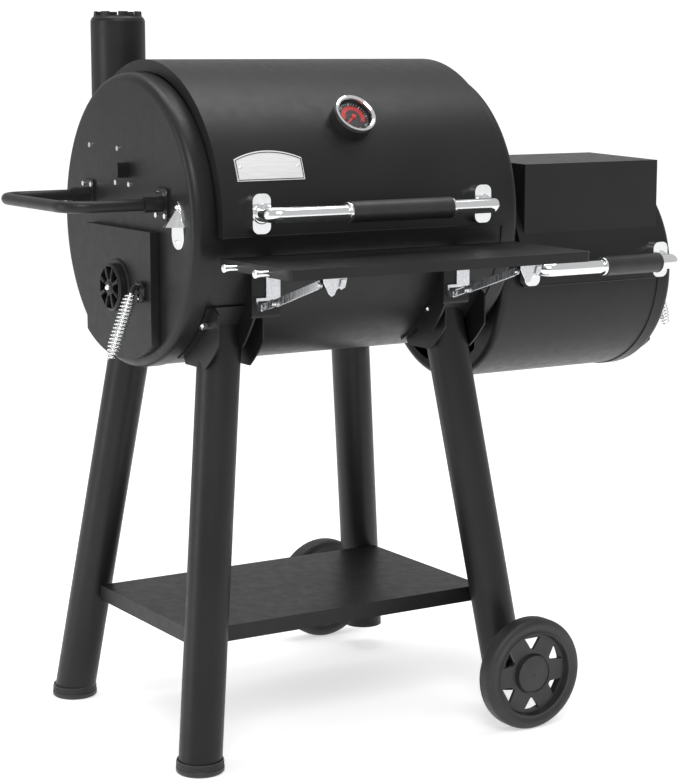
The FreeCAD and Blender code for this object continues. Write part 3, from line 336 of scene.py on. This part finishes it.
def add_bolt(shape, origin, axis, size):
    """A washer and a domed head with a cross recess standing on a surface."""
    place = facing(axis, origin)
    add_lathe(shape, [(0, 0), (size * 1.35, 0), (size * 1.35, size * 0.2), (0, size * 0.2)], place, 24)
    dome = [(0, size * 0.2), (size, size * 0.2)] + rounded_corner((0, size * 0.35), size, 0, 78, 6)
    dome += [(size * 0.2, size * 1.05), (0, size * 1.0)]
    add_lathe(shape, dome, place, 24)


def add_hex(shape, origin, axis, size):
    place = facing(axis, origin)
    add_lathe(shape, [(0, 0), (size * 1.5, 0), (size * 1.5, size * 0.22), (0, size * 0.22)], place, 28)
    outline = [(size * math.cos(math.pi * k / 3), size * math.sin(math.pi * k / 3)) for k in range(6)]
    add_prism(shape, outline, place @ Matrix.Translation((0, 0, size * 0.2)), size * 0.7)


# Pieces

def spring_handle(prefix, side):
    """The chrome coil of a door handle, round its core, in the place of its plain solid."""
    node = prefix + "_spring_handle"
    low, high = corners(node)
    along = Vector((side * math.sin(SPRING_LEAN), 0, -math.cos(SPRING_LEAN)))
    reach = SPRING_MOUTH * math.cos(SPRING_LEAN)
    top_x = high.x - reach if side < 0 else low.x + reach
    start = Vector((top_x, (low.y + high.y) / 2, high.z - SPRING_MOUTH * math.sin(SPRING_LEAN)))
    turns, steps = 18, 22
    across = Y
    other = along.cross(across)

    def radius(part):
        if part < 0.12:
            return SPRING_BODY * (0.62 + 0.38 * part / 0.12)
        if part > 0.78:
            return SPRING_BODY * (1 - 0.46 * (part - 0.78) / 0.22)
        return SPRING_BODY
    path = []
    for index in range(turns * steps + 1):
        part = index / (turns * steps)
        turn = 2 * math.pi * index / steps
        centre = start + along * (0.002 + part * (SPRING_LONG - 0.004))
        path.append(centre + (across * math.cos(turn) + other * math.sin(turn)) * radius(part))
    piece = mesh_piece(prefix + "_coil", lambda shape: add_tube(shape, path, 1.35 * MM, 8), 60)
    finish_piece(piece, prefix + "_latch", "chrome", replaces=(node,))
    core = [start + along * (SPRING_LONG * k / 8) for k in range(8)]
    piece = mesh_piece(prefix + "_coil_core", lambda shape: add_tube(shape, core, 3.2 * MM, 14))
    finish_piece(piece, prefix + "_latch", "chrome")


def tyre(prefix, side):
    """A solid tyre with round shoulders and a raised bead beside the rim."""
    node = prefix + "_tyre"
    low, high = corners(node)
    outer, half = (high.z - low.z) / 2, (high.y - low.y) / 2
    bead = 81.2 * MM
    soft = 11 * MM
    profile = [(bead, -half + 2 * MM), (bead + 4 * MM, -half + 1 * MM), (bead + 6 * MM, -half)]
    profile += rounded_corner((outer - soft, -half + soft), soft, -90, 0, 8)
    profile += rounded_corner((outer - soft, half - soft), soft, 0, 90, 8)
    profile += [(bead + 6 * MM, half), (bead + 4 * MM, half - 1 * MM), (bead, half - 2 * MM)]
    place = facing(Y * side, middle(node))
    piece = mesh_piece(prefix + "_tyre_tread", lambda shape: add_lathe(shape, profile, place, 128))
    finish_piece(piece, prefix + "_wheel", "tyre_black", replaces=(node,))
    ring = rounded_corner((76.5 * MM, half - 1.5 * MM), 1.6 * MM, 0, 330, 9)
    cap = rounded_corner((33.5 * MM, half - 3.2 * MM), 1.2 * MM, 0, 330, 9)

    def rims(shape):
        add_lathe(shape, ring, place, 96)
        add_lathe(shape, cap, place, 72)
    finish_piece(mesh_piece(prefix + "_wheel_beads", rims), prefix + "_wheel", "moulded_black")


def on_lid(degrees, x, out=0.0):
    """A point on the lid's skin and the way it faces."""
    rise = math.radians(degrees)
    normal = Vector((0, -math.cos(rise), math.sin(rise)))
    return Vector((x, BARREL.y, BARREL.z)) + normal * (LID_RADIUS + out), normal


def thermometer():
    """The printed dial: ticks, long at every fourth, and a red arc, under the glass."""
    x = middle("gauge_bezel").x
    origin, normal = on_lid(38, x, 15.0 * MM)
    place = facing(normal, origin)
    up = place.to_3x3().inverted() @ (Z - normal * Z.dot(normal))
    zero = math.atan2(up.y, up.x)

    def sector(shape, inner, outer, first, last, steps=40):
        outline = [(r * math.cos(a), r * math.sin(a)) for r, a in
                   [(outer, first + (last - first) * k / steps) for k in range(steps + 1)]
                   + [(inner, last + (first - last) * k / steps) for k in range(steps + 1)]]
        count = steps + 1
        top = [shape.verts.new(place @ Vector((px, py, 0.0004))) for px, py in outline]
        base = [shape.verts.new(place @ Vector((px, py, 0))) for px, py in outline]
        total = len(outline)
        for k in range(count - 1):
            shape.faces.new((top[k], top[k + 1], top[total - 2 - k], top[total - 1 - k]))
            shape.faces.new((base[k + 1], base[k], base[total - 1 - k], base[total - 2 - k]))
        for k in range(total):
            shape.faces.new((base[k], base[(k + 1) % total], top[(k + 1) % total], top[k]))

    def arcs(shape):
        sector(shape, 15 * MM, 22 * MM, zero - math.radians(120), zero + math.radians(100))
    finish_piece(mesh_piece("dial_red_arc", arcs), "lid", "needle_red")

    def ticks(shape):
        for index in range(25):
            turn = zero - math.radians(132) + math.radians(264) * index / 24
            long = 4.5 if index % 4 == 0 else 2.2
            wide = math.radians(1.6 if index % 4 == 0 else 0.9)
            sector(shape, (28 - long) * MM, 28 * MM, turn - wide, turn + wide, 2)
    finish_piece(mesh_piece("dial_ticks", ticks), "lid", "dial_face", "dial_white")


def plaque():
    """A dark raised border and two rivets on the blank plaque."""
    low, high = corners("badge_plate")
    x = (low.x + high.x) / 2
    half = (high.x - low.x) / 2
    rise = 14 * MM
    arch = (half * half / rise + rise) / 2

    def skin(across, up):
        return on_lid(22 + math.degrees(up / LID_RADIUS), x + across, 1.9 * MM)[0]

    inset = 2.2 * MM
    base, shoulder = -26 * MM + inset, 12 * MM - inset
    path = [(-half + inset, shoulder), (-half + inset, base), (half - inset, base), (half - inset, shoulder)]
    sweep = math.asin((half - inset) / arch)
    for k in range(1, 24):
        turn = sweep - 2 * sweep * k / 24
        path.append((arch * math.sin(turn), shoulder + arch * math.cos(turn) - arch * math.cos(sweep)))
    path.append(path[0])
    points = []
    for (ax, ay), (bx, by) in zip(path, path[1:]):
        points += [skin(ax + (bx - ax) * k / 6, ay + (by - ay) * k / 6) for k in range(6)]
    points.append(points[0].copy())
    piece = mesh_piece("plaque_border", lambda shape: add_tube(shape, points, 0.7 * MM, 8))
    finish_piece(piece, "lid", "satin_black")

    def rivets(shape):
        for across in (-half + 9 * MM, half - 9 * MM):
            point, normal = on_lid(21.5, x + across, 1.6 * MM)
            dome = [(0, 0), (2.6 * MM, 0), (2.2 * MM, 0.9 * MM), (1.2 * MM, 1.4 * MM), (0, 1.5 * MM)]
            add_lathe(shape, dome, facing(normal, point), 20)
    finish_piece(mesh_piece("plaque_rivets", rivets), "lid", "chrome")


def handle_fittings(prefix, body):
    """Collars where a chrome bar enters its brackets and its grip, and the grip's end rings."""
    low, high = corners(prefix + "_handle_bar")
    grip_low, grip_high = corners(prefix + "_handle_grip")
    bar = (grip_low + grip_high) / 2
    posts = (low.x + 13 * MM, high.x - 13 * MM)
    plates = corners(prefix + "_handle_brackets")

    def collars(shape):
        for x in posts:
            place = facing(-Y, Vector((x, plates[0].y + 1 * MM, bar.z)))
            ring = [(12.9 * MM, -4 * MM), (17 * MM, -4 * MM)]
            ring += rounded_corner((15.5 * MM, 2 * MM), 1.5 * MM, 0, 90, 4) + [(12.9 * MM, 3.5 * MM)]
            add_lathe(shape, ring, place, 48)
        for x, way in ((grip_low.x, -X), (grip_high.x, X)):
            place = facing(way, Vector((x, bar.y, bar.z)))
            ring = [(13.1 * MM, -1 * MM), (17.2 * MM, -1 * MM)]
            ring += rounded_corner((15.7 * MM, 3.5 * MM), 1.5 * MM, 0, 90, 4) + [(13.1 * MM, 5 * MM)]
            add_lathe(shape, ring, place, 48)
    finish_piece(mesh_piece(prefix + "_handle_collars", collars), body, "chrome")

    def rings(shape):
        for x in (grip_low.x + 3 * MM, grip_high.x - 3 * MM):
            ring = rounded_corner((17.9 * MM, 0), 0.9 * MM, 0, 330, 9)
            add_lathe(shape, ring, facing(X, Vector((x, bar.y, bar.z))), 56)
    finish_piece(mesh_piece(prefix + "_grip_rings", rings), body, "grip_black")


def lid_hem(prefix, body, node, radius, axis_z, degrees):
    """The rolled hem along a lid's lower front edge."""
    low, high = corners(node)
    turn = math.radians(degrees)
    y = BARREL.y - (radius - 1 * MM) * math.cos(turn)
    z = axis_z + (radius - 1 * MM) * math.sin(turn)
    path = [Vector((low.x + 0.5 * MM + (high.x - low.x - 1 * MM) * k / 12, y, z)) for k in range(13)]
    piece = mesh_piece(prefix + "_hem", lambda shape: add_tube(shape, path, 1.9 * MM, 14))
    finish_piece(piece, body, "satin_black")


def opener():
    """The cast bottle opener: a plate with an arched mouth that stands out, and its lip."""
    low, high = corners("bottle_opener")
    y, wide, tall = (low.y + high.y) / 2, (high.y - low.y) / 2, high.z - low.z
    z = (low.z + high.z) / 2

    def build(shape):
        outline = []
        for k in range(48):
            turn = 2 * math.pi * k / 48
            height = math.sin(turn)
            narrow = 0.68 - 0.32 * height
            outline.append((math.cos(turn) * wide * narrow, height * tall / 2))
        place = Matrix.Translation((high.x, y, z)) @ Matrix(
            ((0, 0, -1, 0), (-1, 0, 0, 0), (0, 1, 0, 0), (0, 0, 0, 1)))
        add_prism(shape, outline, place, 2.6 * MM)
        across, down = 14, 10
        rows = []
        for skin in (0, 1):
            for i in range(down + 1):
                part = i / down
                half = (6 + 16 * part) * MM
                proud = (1.5 + 24 * part) * MM
                row = []
                for k in range(across + 1):
                    side = -1 + 2 * k / across
                    out = proud * (1 - side * side) ** 0.5 + 1.4 * MM - skin * 1.3 * MM
                    row_z = z + tall * (0.34 - 0.36 * part)
                    row.append(shape.verts.new((high.x - out, y + side * half, row_z)))
                rows.append(row)
        outer, inner = rows[:down + 1], rows[down + 1:]
        for sheet, flip in ((outer, False), (inner, True)):
            for here, ahead in zip(sheet, sheet[1:]):
                for k in range(across):
                    quad = (here[k], here[k + 1], ahead[k + 1], ahead[k])
                    shape.faces.new(quad[::-1] if flip else quad)
        for sheet_a, sheet_b in ((outer[0], inner[0]), (outer[-1], inner[-1])):
            for k in range(across):
                shape.faces.new((sheet_a[k], sheet_a[k + 1], sheet_b[k + 1], sheet_b[k]))
        for k in (0, across):
            for i in range(down):
                shape.faces.new((outer[i][k], outer[i + 1][k], inner[i + 1][k], inner[i][k]))
        for up in (-0.34, 0.38):
            add_bolt(shape, Vector((high.x - 2.4 * MM, y, z + tall * up)), -X, 3.2 * MM)
    finish_piece(mesh_piece("opener_casting", build), "frame", "chrome", replaces=("bottle_opener",))


def door_fittings(prefix, side):
    """Screws of the damper and the latch, the damper's ribs and the latch's keeper."""
    body_door, body_damper, body_latch = prefix + "_door", prefix + "_damper", prefix + "_latch"
    way = X * side
    damper_low, damper_high = corners(prefix + "_damper")
    hub = middle(prefix + "_damper")
    face = damper_low.x if side < 0 else damper_high.x
    rotor_face = face - side * 2 * MM

    def centre_screw(shape):
        add_bolt(shape, Vector((face - side * 1.5 * MM, hub.y, hub.z)), way, 5.2 * MM)
    finish_piece(mesh_piece(prefix + "_damper_screw", centre_screw), body_door, "chrome")

    def grips(shape):
        for k in range(8):
            turn = math.pi * (k + 0.5) / 4
            spot = Vector((rotor_face, hub.y + 27 * MM * math.cos(turn), hub.z + 27 * MM * math.sin(turn)))
            ends = [spot + Vector((0, math.cos(turn), math.sin(turn))) * reach * MM for reach in (-8, 0, 9)]
            add_tube(shape, ends, 1.8 * MM, 10)
    finish_piece(mesh_piece(prefix + "_damper_ribs", grips), body_damper, "satin_black")
    latch = middle(prefix + "_latch")
    plate = corners(prefix + "_latch")
    top = plate[1].z - 15 * MM
    plate_x = (plate[1].x if side < 0 else plate[0].x) + side * 4 * MM

    def keeper(shape):
        for lean in (-32, 32):
            turn = math.radians(lean)
            arm = Vector((0, math.sin(turn), math.cos(turn)))
            place = Matrix.Translation((plate_x, latch.y, top)) @ Matrix(
                ((0, 0, side, 0), (arm.z, arm.y, 0, 0), (-arm.y, arm.z, 0, 0), (0, 0, 0, 1)))
            outline = [(-5 * MM, -19 * MM), (5 * MM, -19 * MM), (6.5 * MM, 0), (5 * MM, 19 * MM),
                       (-5 * MM, 19 * MM),
                       (-6.5 * MM, 0)]
            add_prism(shape, outline, place, 3.4 * MM)
    finish_piece(mesh_piece(prefix + "_latch_cross", keeper), body_latch, "satin_black")

    def screws(shape):
        for up in (-11, 11):
            add_bolt(shape, Vector((plate_x + side * 3.0 * MM, latch.y, top + up * MM)), way, 1.7 * MM)
    finish_piece(mesh_piece(prefix + "_latch_screws", screws), body_latch, "chrome")


def stand_bolts():
    """Hex bolts through the saddles, one each side of every leg."""
    def build(shape):
        for lean in (LEFT_SADDLE, RIGHT_SADDLE):
            for degrees in (-40, 220):
                turn = math.radians(degrees)
                normal = Vector((0, -math.cos(turn), math.sin(turn)))
                for offset in (-SADDLE_SPREAD, SADDLE_SPREAD):
                    spot = Vector((BARREL.x + lean + offset, BARREL.y, BARREL.z)) + normal * SADDLE_RADIUS
                    add_hex(shape, spot, normal, 5.2 * MM)
    finish_piece(mesh_piece("saddle_bolts", build), "frame", "chrome")


def shelf_fittings():
    """The folding brackets' channels, pivots and catches, and the tool pegs."""
    left_end = corners("front_shelf")[0].x
    strut_low, strut_high = corners("shelf_struts")
    lefts = (strut_low.x, strut_high.x - STRUT_THICK)

    pivots = {"low": Vector((0, strut_high.y - STRUT_HALF, strut_low.z + STRUT_HALF))}
    pivots["far"] = pivots["low"] + STRUT_RISE
    pivots["mid"] = pivots["low"] + STRUT_RISE.normalized() * LOWER_STRUT
    link_end = pivots["far"] - STRUT_RISE.normalized() * 7 * MM

    def channel(shape, start, stop, x, offset):
        along = (stop - start).normalized()
        side = Vector((0, along.z, -along.y)) * offset
        path = [start + side + X * x, (start + stop) / 2 + side + X * x, stop + side + X * x]
        add_tube(shape, path, 1.5 * MM, 8)

    def lower(shape):
        for x in lefts:
            for offset in (-5.4 * MM, 5.4 * MM):
                channel(shape, pivots["low"], pivots["mid"], x, offset)
            add_hex(shape, pivots["mid"] + X * (x + 0.2 * MM), -X, 4.2 * MM)
            add_hex(shape, pivots["low"] + X * (x + 0.2 * MM), -X, 3.6 * MM)
    finish_piece(mesh_piece("strut_channels", lower), "struts", "zinc_plate")

    def upper(shape):
        for x in lefts:
            for offset in (-5.4 * MM, 5.4 * MM):
                channel(shape, pivots["mid"], link_end, x + LINK_STEP, offset)
            add_hex(shape, pivots["far"] + X * (x + 3.2 * MM), -X, 3.6 * MM)
    finish_piece(mesh_piece("link_channels", upper), "links", "zinc_plate")

    def catches(shape):
        """The sprung catch at each bracket's front end, hung from the underside of the shelf."""
        lobes = [(2, 29), (2, 4), (7, -6), (12, -15), (17, -19), (22, -17), (26, -9), (31, -6), (35, -9),
                 (42, -6), (46, 10), (46, 29)]
        for x in lefts:
            place = Matrix.Translation((x, pivots["far"].y - 14 * MM, pivots["far"].z)) @ Matrix(
                ((1, 0, 0, 0), (0, 0, -1, 0), (0, 1, 0, 0), (0, 0, 0, 1)))
            add_prism(shape, [(px * MM, pz * MM) for px, pz in lobes], place, 1.6 * MM)
            hook = [(30, -4), (41, -4), (44, 8), (33, 8)]
            add_prism(shape, [(px * MM, pz * MM) for px, pz in hook],
                      place @ Matrix.Translation((0, 0, 1.6 * MM)), 3 * MM)
    finish_piece(mesh_piece("shelf_catches", catches), "front_shelf", "zinc_plate")

    def pegs(shape):
        for y in (corners("tool_pegs")[0].y + PEG_HEAD, corners("tool_pegs")[1].y - PEG_HEAD):
            place = facing(-X, Vector((left_end, y, middle("tool_pegs").z)))
            shank = [(0, -1 * MM), (5 * MM, -1 * MM), (5 * MM, 19.4 * MM), (5.8 * MM, 20.2 * MM)]
            shank += rounded_corner((4.8 * MM, 25.6 * MM), 2.2 * MM, -60, 90, 6) + [(0, 27.8 * MM)]
            add_lathe(shape, shank, place, 32)
    finish_piece(mesh_piece("peg_turnings", pegs), "front_shelf", "chrome", replaces=("tool_pegs",))


def foot_ribs():
    low, high = corners("foot_caps")

    def build(shape):
        for y in (low.y + 41.5 * MM, high.y - 41.5 * MM):
            for z in (12.2, 15.2, 18.2):
                place = Matrix.Translation(((low.x + high.x) / 2, y, z * MM))
                add_lathe(shape, rounded_corner((40.1 * MM, 0), 0.8 * MM, 0, 330, 9), place, 96)
    finish_piece(mesh_piece("foot_cap_ribs", build), "frame", "moulded_black")


def seams():
    """Weld beads where the end caps' skirts meet the rolled shells below the lids."""
    def arc(shape, x, radius, z, first, last):
        path = []
        for k in range(97):
            turn = math.radians(first + (last - first) * k / 96)
            ripple = 1 + 0.0006 * math.sin(k * 2.3)
            reach = radius * ripple
            path.append(Vector((x, BARREL.y - reach * math.cos(turn), z + reach * math.sin(turn))))
        add_tube(shape, path, 0.9 * MM, 8)

    def build(shape):
        for x in (corners("left_end_cap")[1].x, corners("right_end_cap")[0].x):
            arc(shape, x, BARREL_RADIUS - 1.6 * MM, BARREL.z, -222, -4)
        for x in (corners("firebox_inner_cap")[1].x, corners("firebox_outer_cap")[0].x):
            arc(shape, x, FIRE_RADIUS, FIRE.z, -222, -5)
    finish_piece(mesh_piece("shell_seams", build), "frame", "satin_black")


def build_pieces():
    for prefix, side in (("ash", -1), ("fire", 1)):
        spring_handle(prefix, side)
        door_fittings(prefix, side)
    tyre("front", -1)
    tyre("rear", 1)
    thermometer()
    plaque()
    handle_fittings("lid", "lid")
    handle_fittings("firebox", "firebox_lid")
    lid_hem("lid", "lid", "lid_shell", LID_RADIUS, BARREL.z, -2.5)
    lid_hem("firebox_lid", "firebox_lid", "firebox_lid_shell", FIRE_LID_RADIUS, FIRE.z, -2.5)
    opener()
    stand_bolts()
    shelf_fittings()
    foot_ribs()
    seams()


# Studio

def floor():
    data = bpy.data.meshes.new("floor")
    size = 14.0
    ring = [(-size, -size, 0), (size, -size, 0), (size, size, 0), (-size, size, 0)]
    data.from_pydata(ring, [], [(0, 1, 2, 3)])
    plane = bpy.data.objects.new("floor", data)
    bpy.context.scene.collection.objects.link(plane)
    material, principled = shader("pale_floor", (0.9, 0.9, 0.9), roughness=0.65)
    link(material, ramp(material, noise(material, 3.0), (0.88, 0.88, 0.88), (0.92, 0.92, 0.92)),
         principled, "Base Color")
    principled.inputs["Emission Color"].default_value = (1, 1, 1, 1)
    principled.inputs["Emission Strength"].default_value = 0.5
    data.materials.append(material)


def area_light(name, place, target, wide, tall, power):
    data = bpy.data.lights.new(name, "AREA")
    data.shape = "RECTANGLE"
    data.size, data.size_y, data.energy = wide, tall, power
    lamp = bpy.data.objects.new(name, data)
    lamp.location = place
    lamp.rotation_euler = (Vector(target) - Vector(place)).to_track_quat("-Z", "Y").to_euler()
    bpy.context.scene.collection.objects.link(lamp)


def studio():
    world = bpy.data.worlds.new("studio")
    bpy.context.scene.world = world
    world.use_nodes = True
    background = world.node_tree.nodes["Background"]
    background.inputs["Color"].default_value = (1, 1, 1, 1)
    tree = world.node_tree
    seen = tree.nodes.new("ShaderNodeLightPath").outputs["Is Camera Ray"]
    level = tree.nodes.new("ShaderNodeMapRange")
    level.inputs["To Min"].default_value = 0.6
    level.inputs["To Max"].default_value = 1.1
    tree.links.new(seen, level.inputs["Value"])
    tree.links.new(level.outputs["Result"], background.inputs["Strength"])
    area_light("key", (-1.6, -2.6, 3.2), (0, 0, 0.8), 1.6, 1.6, 60)
    area_light("top", (0.2, 0.3, 3.4), (0, 0, 0.9), 3.0, 1.2, 45)
    area_light("side", (-3.4, 0.6, 1.3), (0, 0, 0.9), 0.7, 2.4, 25)


def camera():
    """The view that the object is judged from: ahead and to the left, a little above."""
    around, above = math.radians(31.76), math.radians(9.28)
    data = bpy.data.cameras.new("camera")
    data.sensor_width = 36
    data.lens = 95.8
    view = bpy.data.objects.new("camera", data)
    view.location = (-2.0542, -3.1973, 1.2048)
    level = math.cos(above)
    forward = Vector((math.sin(around) * level, math.cos(around) * level, -math.sin(above)))
    view.rotation_euler = forward.to_track_quat("-Z", "Y").to_euler()
    bpy.context.scene.collection.objects.link(view)
    bpy.context.scene.camera = view


camera()
dress_frame()
build_pieces()
floor()
studio()
bpy.context.scene.view_settings.view_transform = "Standard"
